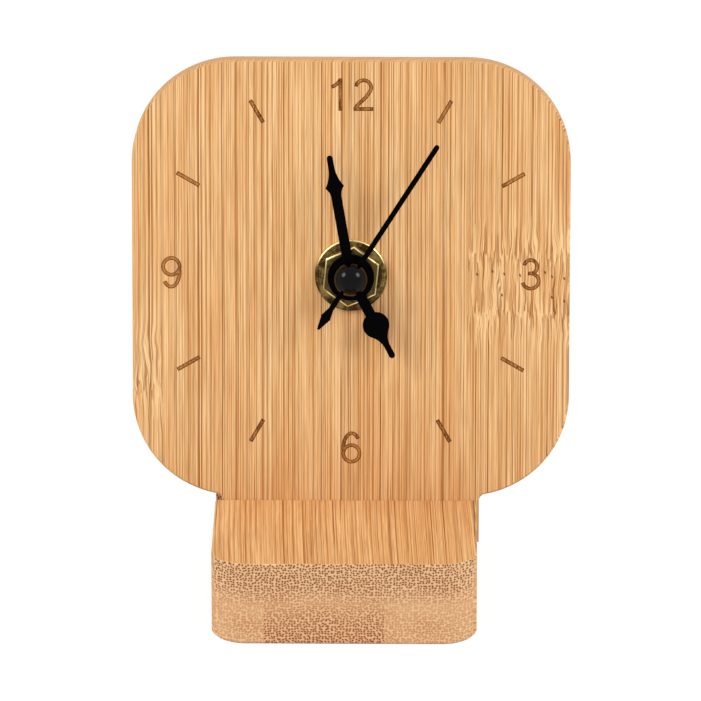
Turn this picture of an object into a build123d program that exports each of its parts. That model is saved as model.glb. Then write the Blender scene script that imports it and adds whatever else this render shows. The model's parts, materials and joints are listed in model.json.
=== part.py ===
from build123d import *
import math
import os

os.makedirs("parts", exist_ok=True)

# Sizes are millimetres. The origin is the centre of the base's underside, +Z is up
# and the dial faces -Y. The panel and everything on it is drawn in the dial's own
# plane: x to the right, y up the panel, z out of the dial, zero on its front face.

# Base block
base_width = 60.0
base_depth = 60.0
base_height = 19.5
base_corner = 8.0
base_edge = 0.6
land_depth = 39.0
slot_depth = 10.0

# Dial panel
panel_width = 100.0
panel_rise = 49.5
panel_drop = 51.7
panel_corner = 23.5
panel_thickness = 6.0
panel_edge = 0.4
neck_width = 59.0
neck_fillet = 1.6
neck_gap = 1.1
panel_shift = 1.15
lean_angle = 9.0

# Fits
slot_clearance = 0.1
seat_clearance = 0.2
running_clearance = 0.05
loose_clearance = 0.2
hole_clearance = 0.2
overrun = 5.0

# Hub hardware
bush_radius = 3.9
bush_bore = 2.55
bush_flange_radius = 5.5
bush_flange_thickness = 1.0
bush_stand = 0.2
washer_radius = 8.25
washer_thickness = 1.0
washer_edge = 0.25
nut_flats = 12.2
nut_thickness = 2.0
nut_bevel = 0.5
nut_turn = -6.0
gasket_radius = 9.0
gasket_thickness = 1.0

# Movement case
case_corner = 3.0
case_depth = 16.0
side_wall = 1.5
bay_wall = 1.2
front_wall = 1.5
cover_thickness = 1.2
partition_thickness = 1.0
partition_gap = 2.7
finger_notch_width = 18.0
finger_notch_depth = 7.0
cradle_place = 13.0
cradle_width = 1.2
cradle_gap_share = 0.40
cradle_lip_share = 0.35
boss_radius = 1.4
post_radius = 1.5
post_inset = 3.0
pin_radius = 0.9
clip_width = 6.0
clip_thickness = 0.8
clip_length = 5.5
clip_bar = 1.2
clip_place = 14.0
clip_rise = 8.0
catch_width = 3.0
catch_height = 0.6
catch_length = 1.5

# Gear train: teeth and modules
rotor_teeth = 8
rotor_module = 0.3125
fifth_teeth = 48
fifth_pinion_teeth = 8
second_teeth = 40
second_module = 0.375
second_pinion_teeth = 8
third_teeth = 60
third_pinion_teeth = 8
centre_teeth = 64
centre_module = 0.25
cannon_teeth = 10
motion_teeth = 30
motion_module = 0.45
motion_pinion_teeth = 8
hour_teeth = 32
setting_teeth = 10
addendum_share = 0.80
dedendum_share = 1.05
tip_half_share = 0.10
root_half_share = 0.285

lighten_at_share = 0.55
lighten_radius_share = 0.24
lighten_count = 3

# Gear train: layers, arbors and the directions from one arbor to the next
wheel_thickness = 0.8
layer_gap = 0.4
bridge_thickness = 1.0
bridge_margin = 3.5
bridge_land = 2.55
bridge_clearance = 1.4
bridge_corner = 2.0
arbor_radius = 0.5
pivot_radius = 0.35
cannon_radius = 1.6
second_arbor_tail = 1.5
third_direction = 150.0
fifth_direction = 30.0
rotor_direction = 75.0
motion_direction = 180.0
setting_direction = 180.0
magnet_radius = 2.2
magnet_length = 1.8

# Setting knob
knob_radius = 5.0
knob_thickness = 2.5
knob_shaft_radius = 1.5
knob_scallops = 8
knob_scallop_radius = 1.0

# Motor and electronics
core_radius = 1.3
stator_thickness = 0.8
stator_width = 5.4
stator_leg = 3.0
magnet_gap = 0.35
stator_offset = 3.0
coil_length = 17.0
winding_depth = 1.65
coil_margin = 1.5
bobbin_flange_radius = 4.0
bobbin_flange = 0.8
bobbin_wall = 0.5
board_gap = 0.3
board_height = 8.5
board_thickness = 1.0
chip_radius = 2.6
chip_height = 0.7
chip_inset = 5.8
crystal_radius = 1.0
crystal_length = 6.0
crystal_inset = 12.0
strip_thickness = 0.4
strip_width = 3.6
strip_tab = 4.0
contact_width = 9.0
spring_reach = 1.4
leaf_width = 6.0
leaf_margin = 0.5

# Battery
cell_radius = 7.25
cell_length = 49.5
cell_edge = 0.6
cell_nub_radius = 2.75
cell_nub_length = 1.0
nub_gap = 0.25

# Hands
hand_gap = 0.5
hand_thickness = 0.4
second_hand_thickness = 0.3
tip_width = 1.4
flank_turn = 45.0
hour_hub_radius = 5.3
hour_disc_at = 12.4
hour_disc_radius = 3.05
hour_rod = 2.2
hour_shaft_width = 2.4
minute_hub_radius = 4.4
minute_length = 28.8
minute_rod = 2.6
minute_flank = 4.8
minute_shaft_width = 2.35
minute_flare_width = 4.3
second_length = 36.7
second_tail = 14.75
second_rod_width = 1.2
second_hub_radius = 2.4
second_collet_radius = 1.0
diamond_width = 2.35
diamond_point = 4.2
diamond_flank = 2.2
diamond_tip_radius = 0.3
cap_radius = 3.9
hour_hand_angle = 152.3
minute_hand_angle = 350.1
second_hand_angle = 32.6

# The dial's plane, set by the slot's front edge
lean = math.radians(lean_angle)
panel_up = Vector(0, math.sin(lean), math.cos(lean))
panel_out = Vector(0, -math.cos(lean), math.sin(lean))
slot_edge = Vector(0, land_depth - base_depth / 2, base_height)
slot_width = panel_thickness + 2 * slot_clearance
slot_plane = Plane(origin=slot_edge, x_dir=(1, 0, 0), z_dir=panel_out)
dial_centre = (
    slot_edge
    + Vector(panel_shift, 0, 0)
    + panel_up * (neck_gap + panel_drop)
    - panel_out * slot_clearance
)
out_axis = Axis(dial_centre, panel_out)
neck_length = neck_gap + slot_depth - seat_clearance


def polar(radius, degrees, start=(0, 0)):
    """A point in the dial's plane, at a radius and direction from a start point."""
    angle = math.radians(degrees)
    return (start[0] + radius * math.cos(angle), start[1] + radius * math.sin(angle))


# Places of the arbors in the dial's plane
fifth_distance = (second_teeth + fifth_pinion_teeth) * second_module / 2
rotor_distance = (rotor_teeth + fifth_teeth) * rotor_module / 2
third_distance = (centre_teeth + third_pinion_teeth) * centre_module / 2
third_module = 2 * third_distance / (third_teeth + second_pinion_teeth)
motion_distance = (cannon_teeth + motion_teeth) * motion_module / 2
hour_module = 2 * motion_distance / (hour_teeth + motion_pinion_teeth)
setting_distance = (motion_teeth + setting_teeth) * motion_module / 2
hub_place = (0, 0)
fifth_place = polar(fifth_distance, fifth_direction)
rotor_place = polar(rotor_distance, rotor_direction, fifth_place)
third_place = polar(third_distance, third_direction)
motion_place = polar(motion_distance, motion_direction)
setting_place = polar(setting_distance, setting_direction, motion_place)

# Heights of the front face of each layer, from the dial towards the back
layer_step = wheel_thickness + layer_gap
case_front = -(panel_thickness + gasket_thickness)
chamber_front = case_front - front_wall
hour_layer = chamber_front - layer_gap
motion_layer = hour_layer - layer_step
bridge_front = motion_layer - layer_step
bridge_rear = bridge_front - bridge_thickness
centre_layer = bridge_rear - layer_gap
third_layer = centre_layer - layer_step
fifth_layer = third_layer - layer_step
second_layer = fifth_layer - layer_step
boss_front = second_layer - layer_step
magnet_rear = second_layer - magnet_length
rotor_boss_front = magnet_rear - layer_gap
case_rear = case_front - case_depth
cover_inside = case_rear + cover_thickness

# Heights of the hands
nut_top = washer_thickness + nut_thickness
bush_top = nut_top + bush_stand
hour_hand_height = nut_top + hand_gap
minute_hand_height = hour_hand_height + hand_thickness + hand_gap
second_hand_height = minute_hand_height + hand_thickness + hand_gap
cap_height = second_hand_height + second_hand_thickness
hour_tube_radius = bush_bore - running_clearance
bush_hole = bush_radius + running_clearance
bush_flange_hole = bush_flange_radius + running_clearance
arbor_top = cap_height + cap_radius / 2

# Across the case: its width follows the battery and the contacts at its two ends
cell_gap = spring_reach + strip_thickness + running_clearance
bay_length = cell_gap + cell_length + cell_nub_length + nub_gap + strip_thickness
chamber_half = bay_length / 2
half_case = chamber_half + side_wall
bridge_half = chamber_half - bridge_margin
board_half = chamber_half - strip_thickness - board_gap

# Up the case: the battery bay lies below the largest wheel, the coil above the bridge
centre_tip_radius = (centre_teeth / 2 + addendum_share) * centre_module
partition_top = -centre_tip_radius - partition_gap
bay_top = partition_top - partition_thickness
cell_rise = bay_top - loose_clearance - cell_radius
bay_bottom = cell_rise - cell_radius - loose_clearance
case_bottom = bay_bottom - bay_wall
bridge_bottom = partition_top + bridge_clearance
bridge_top = rotor_place[1] + bridge_land
coil_rise = bridge_top + coil_margin + bobbin_flange_radius
chamber_top = coil_rise + bobbin_flange_radius + coil_margin
case_top = chamber_top + side_wall
board_rise = chamber_top - loose_clearance - board_height / 2

# Through the case
cell_height = chamber_front - loose_clearance - cell_radius
board_front = cover_inside + loose_clearance + board_thickness
coil_height = board_front + loose_clearance / 2 + bobbin_flange_radius
coil_place = rotor_place[0] - stator_offset
stator_front = magnet_rear + stator_thickness
post_place = (bridge_half - post_inset, bridge_top - post_inset)
catch_front = clip_length - clip_bar - loose_clearance
clips = (
    ((-clip_place, case_top), panel_up),
    ((clip_place, case_top), panel_up),
    ((-half_case, clip_rise), Vector(-1, 0, 0)),
    ((half_case, clip_rise), Vector(1, 0, 0)),
)


def dial_plane(height, place=hub_place):
    """A plane parallel to the dial, at a height above its front face."""
    origin = (
        dial_centre
        + Vector(place[0], 0, 0)
        + panel_up * place[1]
        + panel_out * height
    )
    return Plane(origin=origin, x_dir=(1, 0, 0), z_dir=panel_out)


def hand_plane(height, clockwise):
    """A plane whose y points along a hand that is turned clockwise from twelve."""
    turn = math.radians(clockwise)
    across = Vector(math.cos(turn), 0, 0) - panel_up * math.sin(turn)
    return Plane(origin=dial_plane(height).origin, x_dir=across, z_dir=panel_out)


def section_plane(rise=0):
    """A plane at a rise above the hub, with x to the right and y out of the dial."""
    origin = dial_plane(0, (0, rise)).origin
    return Plane(origin=origin, x_dir=(1, 0, 0), z_dir=-panel_up)


def cross_plane(offset, rise, height):
    """A plane square to the dial's x, at an offset to the right of the hub."""
    origin = dial_plane(height, (offset, rise)).origin
    return Plane(origin=origin, x_dir=panel_up, z_dir=(1, 0, 0))


def wall_plane(place, outward):
    """A plane across a wall of the case, with x outward and y from the case's rear."""
    origin = dial_plane(case_rear, place).origin
    return Plane(origin=origin, x_dir=outward, z_dir=outward.cross(panel_out))


def mesh_turn(teeth, driver_teeth, driver_turn, direction):
    """The turn that puts a gear's gap where the driver's tooth points at it."""
    tooth_phase = driver_teeth * (direction - driver_turn) / 360
    return direction + 180 - 360 / teeth * (1 / 2 - tooth_phase)


def gear_outline(teeth, module, turn):
    """The corner points of a gear's outline, four to a tooth."""
    pitch_radius = teeth * module / 2
    root_radius = pitch_radius - dedendum_share * module
    tip_radius = pitch_radius + addendum_share * module
    corners = (
        (root_radius, -root_half_share),
        (tip_radius, -tip_half_share),
        (tip_radius, tip_half_share),
        (root_radius, root_half_share),
    )
    outline = []
    for tooth in range(teeth):
        for radius, share in corners:
            outline.append(polar(radius, turn + (tooth + share) * 360 / teeth))
    return outline


def add_gear(place, front, teeth, module, turn):
    """Adds a toothed wheel, whose front face is at a height, to the open part."""
    with BuildSketch(dial_plane(front, place)) as profile:
        with BuildLine():
            Polyline(*gear_outline(teeth, module, turn), close=True)
        make_face()
    extrude(profile.sketch, amount=-wheel_thickness)


def lighten(front, teeth, module):
    """Cuts a ring of round holes through a wheel on the hub's axis."""
    pitch_radius = teeth * module / 2
    with BuildSketch(dial_plane(front)) as profile:
        with PolarLocations(lighten_at_share * pitch_radius, lighten_count):
            Circle(lighten_radius_share * pitch_radius)
    extrude(profile.sketch, amount=-wheel_thickness, mode=Mode.SUBTRACT)


def add_round(place, front, rear, radius):
    """Adds a round bar between two heights to the open part."""
    with BuildSketch(dial_plane(front, place)) as profile:
        Circle(radius)
    extrude(profile.sketch, amount=rear - front)


def cut_round(place, front, rear, radius):
    """Cuts a round hole between two heights into the open part."""
    with BuildSketch(dial_plane(front, place)) as profile:
        Circle(radius)
    extrude(profile.sketch, amount=rear - front, mode=Mode.SUBTRACT)


def box_sketch(left, right, bottom, top, mode=Mode.ADD):
    """Draws a rectangle between two x and two y values in the open sketch."""
    with Locations(((left + right) / 2, (bottom + top) / 2)):
        Rectangle(abs(right - left), abs(top - bottom), mode=mode)


def case_sketch():
    """Draws the outline of the movement case in the open sketch."""
    with Locations((0, (case_top + case_bottom) / 2)):
        RectangleRounded(half_case * 2, case_top - case_bottom, case_corner)


# Turns of the gears, so that each pair is in mesh at rest
fifth_turn = mesh_turn(fifth_teeth, rotor_teeth, 0, rotor_direction + 180)
second_turn = mesh_turn(second_teeth, fifth_pinion_teeth, 0, fifth_direction + 180)
third_turn = mesh_turn(third_teeth, second_pinion_teeth, 0, third_direction)
centre_turn = mesh_turn(centre_teeth, third_pinion_teeth, 0, third_direction + 180)
motion_turn = mesh_turn(motion_teeth, cannon_teeth, 0, motion_direction)
hour_turn = mesh_turn(hour_teeth, motion_pinion_teeth, 0, motion_direction + 180)
setting_turn = mesh_turn(setting_teeth, motion_teeth, motion_turn, setting_direction)

# Base block, with a slot that leans back and is open at both ends
with BuildPart() as base_block:
    with BuildSketch(Plane.XY):
        RectangleRounded(base_width, base_depth, base_corner)
    extrude(amount=base_height)
    base_faces = base_block.faces().sort_by(Axis.Z)
    fillet(base_faces[-1].edges(), base_edge)
    chamfer(base_block.faces().sort_by(Axis.Z)[0].edges(), base_edge)
    slot_reach = base_width / 2 + overrun
    with BuildSketch(slot_plane):
        box_sketch(-slot_reach, slot_reach, -slot_depth, overrun)
    extrude(amount=-slot_width, mode=Mode.SUBTRACT)

# Dial panel: a rounded square that runs into a narrower neck
with BuildPart() as dial_panel:
    with BuildSketch(dial_plane(0)) as panel_outline:
        with Locations((0, (panel_rise - panel_drop) / 2)):
            RectangleRounded(panel_width, panel_rise + panel_drop, panel_corner)
        box_sketch(-neck_width / 2, neck_width / 2, -panel_drop - neck_length, 0)
        neck_roots = panel_outline.vertices().filter_by(
            lambda vertex: abs(abs(vertex.X) - neck_width / 2) < panel_edge
        )
        fillet(neck_roots.sort_by(Axis.Y)[-2:], neck_fillet)
    extrude(amount=-panel_thickness)
    panel_faces = dial_panel.faces().sort_by(out_axis)
    rims = panel_faces[0].edges() + panel_faces[-1].edges()
    chamfer(rims, panel_edge)
    cut_round(hub_place, 0, -panel_thickness, bush_radius + hole_clearance)

# Soft washer between the movement and the panel's back
with BuildPart() as gasket:
    add_round(hub_place, -panel_thickness, case_front, gasket_radius)
    cut_round(hub_place, -panel_thickness, case_front, bush_hole)

# Washer under the nut, with an eased rim
with BuildPart() as dial_washer:
    add_round(hub_place, washer_thickness, 0, washer_radius)
    chamfer(dial_washer.faces().sort_by(out_axis)[-1].edges(), washer_edge)
    cut_round(hub_place, washer_thickness, 0, bush_hole)

# Hexagonal nut, bevelled on its outer face
nut_corner = nut_flats / 2 / math.cos(math.radians(30))
with BuildPart() as hex_nut:
    with BuildSketch(dial_plane(nut_top)):
        RegularPolygon(
            nut_flats / 2, side_count=6, major_radius=False, rotation=30 + nut_turn
        )
    extrude(amount=-nut_thickness)
    with BuildSketch(section_plane()):
        with BuildLine():
            Polyline(
                (0, washer_thickness),
                (nut_corner, washer_thickness),
                (nut_corner, nut_top - nut_bevel),
                (nut_flats / 2, nut_top),
                (0, nut_top),
                close=True,
            )
        make_face()
    revolve(axis=out_axis, mode=Mode.INTERSECT)
    cut_round(hub_place, nut_top, washer_thickness, bush_radius)

# Threaded bush, pressed into the case from inside
with BuildPart() as threaded_bush:
    add_round(hub_place, bush_top, chamber_front, bush_radius)
    bush_flange_front = chamber_front + bush_flange_thickness
    add_round(hub_place, bush_flange_front, chamber_front, bush_flange_radius)
    cut_round(hub_place, bush_top, chamber_front, bush_bore)

# Movement case: a tray open to the rear, a gear chamber above a battery bay
with BuildPart() as movement_tray:
    with BuildSketch(dial_plane(case_front)):
        case_sketch()
    extrude(amount=-case_depth)
    with BuildSketch(dial_plane(cover_inside)):
        box_sketch(-half_case, half_case, partition_top, case_top)
    extrude(amount=-case_depth, mode=Mode.SUBTRACT)
    with BuildSketch(dial_plane(chamber_front)):
        box_sketch(-chamber_half, chamber_half, partition_top, chamber_top)
        box_sketch(-chamber_half, chamber_half, bay_bottom, bay_top)
    extrude(amount=-case_depth, mode=Mode.SUBTRACT)
    strip_front = board_front + strip_width
    with BuildSketch(dial_plane(strip_front + loose_clearance)):
        for side in (-1, 1):
            inner = side * (chamber_half - strip_thickness - loose_clearance)
            box_sketch(inner, side * chamber_half, bay_bottom, partition_top)
    extrude(amount=-case_depth, mode=Mode.SUBTRACT)
    with BuildSketch(dial_plane(case_rear, (0, case_bottom))):
        Rectangle(finger_notch_width, 2 * (bay_wall + loose_clearance))
    extrude(amount=finger_notch_depth, mode=Mode.SUBTRACT)
    bay_radius = cell_radius + loose_clearance
    cradle_gap = cradle_gap_share * bay_radius
    cradle_lip = cradle_lip_share * bay_radius
    for side in (-1, 1):
        cradle_start = side * cradle_place - cradle_width / 2
        with BuildSketch(cross_plane(cradle_start, cell_rise, cell_height)):
            box_sketch(-bay_radius, bay_radius, cradle_lip, bay_radius)
            box_sketch(-cradle_gap, cradle_gap, 0, bay_radius, Mode.SUBTRACT)
            Circle(bay_radius, mode=Mode.SUBTRACT)
        extrude(amount=cradle_width)
    cut_round(hub_place, case_front, chamber_front, bush_hole)
    cut_round(hub_place, bush_flange_front, chamber_front, bush_flange_hole)
    for side in (-1, 1):
        place = (side * post_place[0], post_place[1])
        add_round(place, chamber_front, bridge_front, post_radius)
    for place in (motion_place, setting_place):
        add_round(place, chamber_front, bridge_front, pin_radius)
    for place, outward in clips:
        with BuildSketch(wall_plane(place, outward)):
            with BuildLine():
                Polyline(
                    (0, catch_front),
                    (catch_height, catch_front),
                    (0, catch_front - catch_length),
                    close=True,
                )
            make_face()
        extrude(amount=catch_width / 2, both=True)

# Rear cover over the gear chamber, with a boss for each arbor
with BuildPart() as rear_cover:
    with BuildSketch(dial_plane(cover_inside)):
        case_sketch()
        box_sketch(-half_case, half_case, case_bottom, partition_top, Mode.SUBTRACT)
    extrude(amount=-cover_thickness)
    for place, outward in clips:
        clip_outside = running_clearance + clip_thickness
        with BuildSketch(wall_plane(place, outward)):
            box_sketch(running_clearance, clip_outside, 0, clip_length)
            box_sketch(-side_wall, clip_outside, 0, cover_thickness)
        extrude(amount=clip_width / 2, both=True)
        window_rear = catch_front - catch_length - loose_clearance
        window_front = catch_front + loose_clearance
        with BuildSketch(wall_plane(place, outward)):
            box_sketch(0, clip_outside, window_rear, window_front)
        window_half = catch_width / 2 + loose_clearance
        extrude(amount=window_half, both=True, mode=Mode.SUBTRACT)
    for place in (hub_place, fifth_place, third_place):
        add_round(place, boss_front, cover_inside, boss_radius)
    add_round(rotor_place, rotor_boss_front, cover_inside, boss_radius)
    cut_round(hub_place, boss_front, cover_inside, arbor_radius + running_clearance)
    for place in (fifth_place, third_place, rotor_place):
        cut_round(place, boss_front, cover_inside, pivot_radius + running_clearance)
    knob_hole = knob_shaft_radius + running_clearance
    cut_round(setting_place, cover_inside, case_rear, knob_hole)

# Bridge that carries the front pivots
with BuildPart() as train_bridge:
    with BuildSketch(dial_plane(bridge_front)) as bridge_outline:
        box_sketch(-bridge_half, bridge_half, bridge_bottom, bridge_top)
        fillet(bridge_outline.vertices(), bridge_corner)
    extrude(amount=-bridge_thickness)
    cut_round(hub_place, bridge_front, bridge_rear, cannon_radius + running_clearance)
    for place in (fifth_place, third_place, rotor_place):
        cut_round(place, bridge_front, bridge_rear, pivot_radius + running_clearance)
    cut_round(setting_place, bridge_front, bridge_rear, knob_hole)


def add_arbor(place, front, rear):
    """Adds an arbor with a thin pivot at both ends, its shoulders clear of the bores."""
    add_round(place, bridge_rear - layer_gap / 2, front + layer_gap / 2, arbor_radius)
    add_round(place, bridge_front, rear, pivot_radius)


# Rotor of the stepping motor: magnet, pinion and arbor
with BuildPart() as rotor:
    add_arbor(rotor_place, rotor_boss_front, cover_inside)
    add_gear(rotor_place, fifth_layer, rotor_teeth, rotor_module, 0)
    add_round(rotor_place, second_layer, magnet_rear, magnet_radius)

# Fifth wheel, between the rotor and the second wheel
with BuildPart() as fifth_wheel:
    add_arbor(fifth_place, boss_front, cover_inside)
    add_gear(fifth_place, fifth_layer, fifth_teeth, rotor_module, fifth_turn)
    add_gear(fifth_place, second_layer, fifth_pinion_teeth, second_module, 0)

# Second wheel, whose arbor runs through the hub to the second hand
with BuildPart() as second_wheel:
    add_round(hub_place, arbor_top, boss_front - second_arbor_tail, arbor_radius)
    add_gear(hub_place, second_layer, second_teeth, second_module, second_turn)
    lighten(second_layer, second_teeth, second_module)
    add_gear(hub_place, third_layer, second_pinion_teeth, third_module, 0)

# Third wheel
with BuildPart() as third_wheel:
    add_arbor(third_place, boss_front, cover_inside)
    add_gear(third_place, third_layer, third_teeth, third_module, third_turn)
    add_gear(third_place, centre_layer, third_pinion_teeth, centre_module, 0)

# Centre wheel, which drives the cannon pinion by friction
with BuildPart() as centre_wheel:
    add_gear(hub_place, centre_layer, centre_teeth, centre_module, centre_turn)
    lighten(centre_layer, centre_teeth, centre_module)
    centre_rear = centre_layer - wheel_thickness
    cut_round(hub_place, centre_layer, centre_rear, cannon_radius + running_clearance)

# Cannon pinion, whose tube carries the minute hand
minute_top = minute_hand_height + hand_thickness
with BuildPart() as cannon_pinion:
    add_round(hub_place, minute_top, centre_rear, cannon_radius)
    add_gear(hub_place, motion_layer, cannon_teeth, motion_module, 0)
    cut_round(hub_place, minute_top, centre_rear, arbor_radius + running_clearance)

# Minute work: a wheel and pinion that turn on a pin of the case
with BuildPart() as minute_work_wheel:
    add_gear(motion_place, motion_layer, motion_teeth, motion_module, motion_turn)
    add_gear(motion_place, hour_layer, motion_pinion_teeth, hour_module, 0)
    motion_rear = motion_layer - wheel_thickness
    add_round(motion_place, hour_layer, motion_rear, pin_radius + pivot_radius)
    cut_round(motion_place, hour_layer, motion_rear, pin_radius + running_clearance)

# Hour wheel, whose tube runs in the bush and carries the hour hand
hour_top = hour_hand_height + hand_thickness
hour_rear = hour_layer - wheel_thickness
with BuildPart() as hour_wheel:
    add_round(hub_place, hour_top, hour_rear, hour_tube_radius)
    add_gear(hub_place, hour_layer, hour_teeth, hour_module, hour_turn)
    cut_round(hub_place, hour_top, hour_rear, cannon_radius + running_clearance)

# Setting knob: a scalloped disc behind the cover, a shaft and a pinion
with BuildPart() as setting_knob:
    knob_front = case_rear - loose_clearance
    with BuildSketch(dial_plane(knob_front, setting_place)):
        Circle(knob_radius)
        with PolarLocations(knob_radius, knob_scallops):
            Circle(knob_scallop_radius, mode=Mode.SUBTRACT)
    extrude(amount=-knob_thickness)
    add_round(setting_place, motion_layer, knob_front, knob_shaft_radius)
    add_gear(setting_place, motion_layer, setting_teeth, motion_module, setting_turn)
    pin_hole = pin_radius + running_clearance
    cut_round(setting_place, motion_layer, bridge_front - layer_gap, pin_hole)

# Stator: a plate round the magnet, and the coil's core between its two legs
stator_half = coil_length / 2 + stator_leg
stator_bottom = rotor_place[1] - stator_width / 2
with BuildPart() as stator:
    with BuildSketch(dial_plane(stator_front)):
        left = coil_place - stator_half
        right = coil_place + stator_half
        box_sketch(left, right, stator_bottom, coil_rise + core_radius)
        box_sketch(
            left + stator_leg,
            right - stator_leg,
            stator_bottom + stator_width,
            coil_rise + stator_width,
            Mode.SUBTRACT,
        )
        with Locations(rotor_place):
            Circle(magnet_radius + magnet_gap, mode=Mode.SUBTRACT)
    extrude(amount=-stator_thickness)
    with BuildSketch(cross_plane(left, coil_rise, coil_height)):
        Circle(core_radius)
    extrude(amount=right - left)
    with BuildSketch(dial_plane(coil_height)):
        for inner, outer in ((left, left + stator_leg), (right - stator_leg, right)):
            box_sketch(inner, outer, coil_rise - core_radius, coil_rise + core_radius)
    extrude(amount=stator_front - coil_height)

# Bobbin on the core
bobbin_left = coil_place - coil_length / 2 + loose_clearance / 2
bobbin_length = coil_length - loose_clearance
tube_radius = core_radius + running_clearance + bobbin_wall
with BuildPart() as coil_bobbin:
    with BuildSketch(cross_plane(bobbin_left, coil_rise, coil_height)):
        Circle(tube_radius)
    extrude(amount=bobbin_length)
    for start in (bobbin_left, bobbin_left + bobbin_length - bobbin_flange):
        with BuildSketch(cross_plane(start, coil_rise, coil_height)):
            Circle(bobbin_flange_radius)
        extrude(amount=bobbin_flange)
    with BuildSketch(cross_plane(bobbin_left, coil_rise, coil_height)):
        Circle(core_radius + running_clearance)
    extrude(amount=bobbin_length, mode=Mode.SUBTRACT)

# Winding between the bobbin's flanges
winding_length = bobbin_length - 2 * bobbin_flange
with BuildPart() as coil_winding:
    winding_left = bobbin_left + bobbin_flange
    with BuildSketch(cross_plane(winding_left, coil_rise, coil_height)):
        Circle(tube_radius + winding_depth)
        Circle(tube_radius, mode=Mode.SUBTRACT)
    extrude(amount=winding_length)

# Circuit board with its covered chip
with BuildPart() as circuit_board:
    with BuildSketch(dial_plane(board_front, (0, board_rise))):
        Rectangle(2 * board_half, board_height)
    extrude(amount=-board_thickness)
    with BuildSketch(dial_plane(board_front, (chip_inset - board_half, board_rise))):
        Circle(chip_radius)
    extrude(amount=chip_height, taper=45)

# Crystal can, lying on the board
with BuildPart() as crystal_can:
    crystal_left = crystal_inset - board_half
    crystal_height = board_front + crystal_radius
    with BuildSketch(cross_plane(crystal_left, board_rise, crystal_height)):
        Circle(crystal_radius)
    extrude(amount=crystal_length)

# Battery contacts: each has a plate in the bay and a strip along the side wall
strip_top = board_rise + board_height / 4
contact_pieces = {}
for name, side in (("contact_negative", -1), ("contact_positive", 1)):
    wall = side * chamber_half
    face = side * (chamber_half - strip_thickness)
    tab = side * (chamber_half - strip_tab)
    with BuildPart() as contact:
        with BuildSketch(dial_plane(strip_front)):
            box_sketch(wall, face, cell_rise, strip_top)
        extrude(amount=-strip_width)
        with BuildSketch(dial_plane(cell_height + contact_width / 2)):
            low = cell_rise - contact_width / 2
            high = cell_rise + contact_width / 2
            box_sketch(wall, face, low, high)
        extrude(amount=-contact_width)
        with BuildSketch(dial_plane(board_front + strip_thickness)):
            box_sketch(wall, tab, strip_top - strip_width, strip_top)
        extrude(amount=-strip_thickness)
        if side < 0:
            leaf = contact_width / 2 - leaf_margin
            with BuildSketch(section_plane(cell_rise + leaf_width / 2)):
                with BuildLine():
                    Polyline(
                        (face, cell_height + leaf),
                        (face + spring_reach, cell_height),
                        (face, cell_height - leaf),
                        (face, cell_height - leaf + 2 * strip_thickness),
                        (face + spring_reach - strip_thickness, cell_height),
                        (face, cell_height + leaf - 2 * strip_thickness),
                        close=True,
                    )
                make_face()
            extrude(amount=leaf_width)
    contact_pieces[name] = contact

# Battery, plain
cell_left = cell_gap - chamber_half
with BuildPart() as battery_cell:
    with BuildSketch(cross_plane(cell_left, cell_rise, cell_height)):
        Circle(cell_radius)
    extrude(amount=cell_length)
    chamfer(battery_cell.edges().filter_by(GeomType.CIRCLE), cell_edge)
    cell_end = cell_left + cell_length
    with BuildSketch(cross_plane(cell_end, cell_rise, cell_height)):
        Circle(cell_nub_radius)
    extrude(amount=cell_nub_length)

# Hour hand: a round disc part way along, drawn in to a round-ended rod
half_tip = tip_width / 2
flank_start = polar(hour_disc_radius, flank_turn, (0, hour_disc_at))
flank_slope = math.tan(math.radians(flank_turn / 2))
hour_neck_at = flank_start[1] + (flank_start[0] - half_tip) / flank_slope
hour_rod_end = hour_neck_at + hour_rod
with BuildPart() as hour_hand:
    with BuildSketch(hand_plane(hour_hand_height, hour_hand_angle)):
        with BuildLine():
            Line((0, hour_disc_at), flank_start)
            TangentArc((half_tip, hour_neck_at), flank_start, tangent=(0, -1))
            Line((half_tip, hour_neck_at), (half_tip, hour_rod_end))
            TangentArc(
                (half_tip, hour_rod_end), (0, hour_rod_end + half_tip), tangent=(0, 1)
            )
            mirror(about=Plane.YZ)
        make_face()
        with Locations((0, hour_disc_at)):
            Circle(hour_disc_radius)
        box_sketch(-hour_shaft_width / 2, hour_shaft_width / 2, 0, hour_disc_at)
        Circle(hour_hub_radius)
        Circle(hour_tube_radius, mode=Mode.SUBTRACT)
    extrude(amount=hand_thickness)

# Minute hand: a straight shaft that flares to two points before its rod
half_shaft = minute_shaft_width / 2
half_flare = minute_flare_width / 2
minute_neck_at = minute_length - minute_rod
minute_flare_at = minute_neck_at - minute_flank
minute_waist_at = minute_flare_at - (half_flare - half_shaft) / flank_slope
with BuildPart() as minute_hand:
    with BuildSketch(hand_plane(minute_hand_height, minute_hand_angle)):
        with BuildLine():
            Polyline((0, 0), (half_shaft, 0), (half_shaft, minute_waist_at))
            TangentArc(
                (half_shaft, minute_waist_at),
                (half_flare, minute_flare_at),
                tangent=(0, 1),
            )
            TangentArc(
                (half_tip, minute_neck_at),
                (half_flare, minute_flare_at),
                tangent=(0, -1),
            )
            Line((half_tip, minute_neck_at), (half_tip, minute_length - half_tip))
            TangentArc(
                (half_tip, minute_length - half_tip),
                (0, minute_length),
                tangent=(0, 1),
            )
            mirror(about=Plane.YZ)
        make_face()
        Circle(minute_hub_radius)
        Circle(cannon_radius, mode=Mode.SUBTRACT)
    extrude(amount=hand_thickness)

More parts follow.
